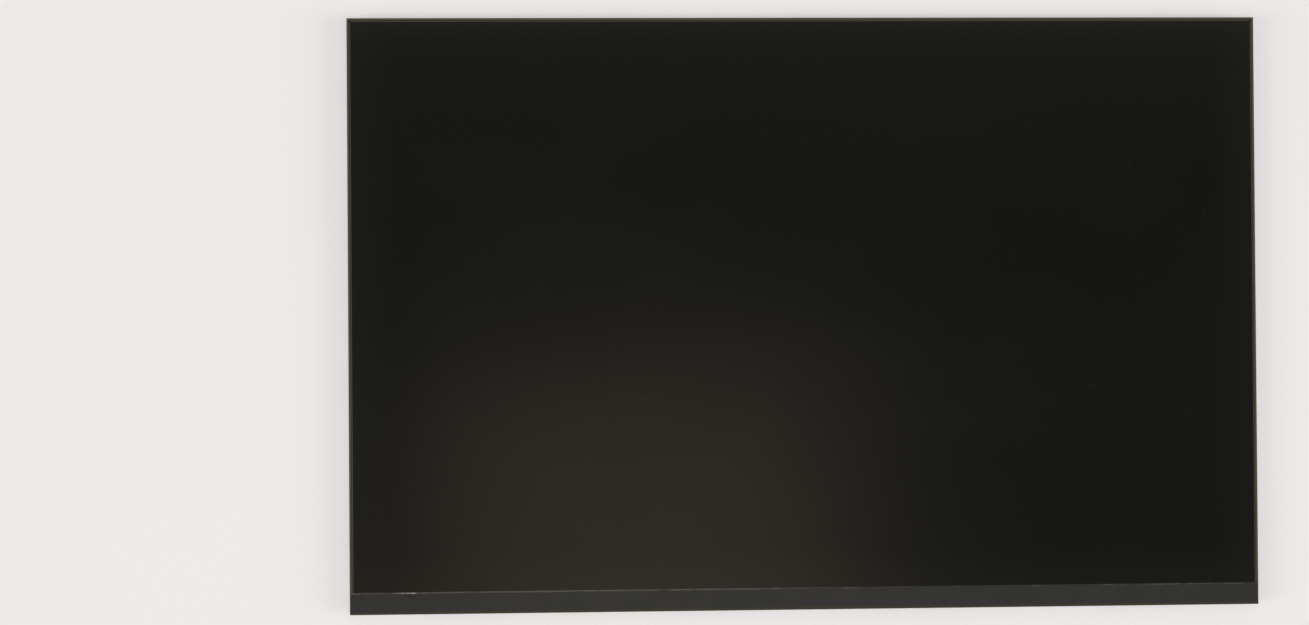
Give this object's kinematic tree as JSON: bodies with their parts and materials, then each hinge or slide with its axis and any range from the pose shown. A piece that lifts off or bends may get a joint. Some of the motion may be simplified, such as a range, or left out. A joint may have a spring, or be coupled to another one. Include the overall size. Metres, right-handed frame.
{
  "type": "laptop screen panel",
  "caption": "Bare notebook display module: matte black screen with a thin frame rim, a taped driver strip below, and a folded metal back with its control board and cable socket.",
  "frame": {"origin": "middle of the outline, at the lowest face of the film over the control board, which the panel rests on when it lies on its back", "axes": "+X to the right along the screen's width, +Y towards the screen's upper edge, +Z out of the screen towards the viewer"},
  "size_m": [0.3064, 0.1992, 0.0038],
  "materials": {
    "polarizer_film": "matte, anti-glare",
    "cell_glass": "polished, cut edges",
    "rear_polarizer_film": "satin",
    "driver_silicon": "ground silicon",
    "flex_circuit": "amber polyimide",
    "strip_tape": "matte dark grey film",
    "black_tape": "matte black",
    "optical_sheet": "frosted",
    "light_guide": "clear acrylic",
    "reflector": "white film",
    "led_body": "white moulding with yellow phosphor",
    "frame_plastic": "black moulded, fine texture",
    "cover_metal": "rolled sheet, satin",
    "circuit_board": "green solder mask",
    "chip_package": "black moulding compound",
    "ferrite": "pressed ferrite",
    "capacitor_ceramic": "fired ceramic",
    "resistor_body": "black glaze",
    "socket_plastic": "black moulded",
    "socket_metal": "tin plated",
    "contact_metal": "gold plated",
    "board_film": "black film, satin"
  },
  "bodies": {
    "root": {"front_polarizer": "polarizer_film", "filter_glass": "cell_glass", "array_glass": "cell_glass", "rear_polarizer": "rear_polarizer_film", "source_driver_1": "driver_silicon", "source_driver_2": "driver_silicon", "source_driver_3": "driver_silicon", "source_driver_4": "driver_silicon", "panel_flex_1": "flex_circuit", "panel_flex_2": "flex_circuit", "panel_flex_3": "flex_circuit", "panel_flex_4": "flex_circuit", "strip_cover_tape": "strip_tape", "rim_tape": "black_tape", "upper_prism_sheet": "optical_sheet", "lower_prism_sheet": "optical_sheet", "diffuser_sheet": "optical_sheet", "light_guide_plate": "light_guide", "reflector_sheet": "reflector", "led_flex": "flex_circuit", "led_tape": "black_tape", "leds": "led_body", "mold_frame": "frame_plastic", "back_cover": "cover_metal", "control_board": "circuit_board", "board_tape": "black_tape", "timing_controller": "chip_package", "power_ic": "chip_package", "led_driver_ic": "chip_package", "flash_memory": "chip_package", "power_inductor_1": "ferrite", "power_inductor_2": "ferrite", "power_inductor_3": "ferrite", "power_inductor_4": "ferrite", "capacitors": "capacitor_ceramic", "resistors": "resistor_body", "connector_housing": "socket_plastic", "connector_contacts": "contact_metal", "connector_shell": "socket_metal", "board_cover_film": "board_film"}
  },
  "joints": []
}
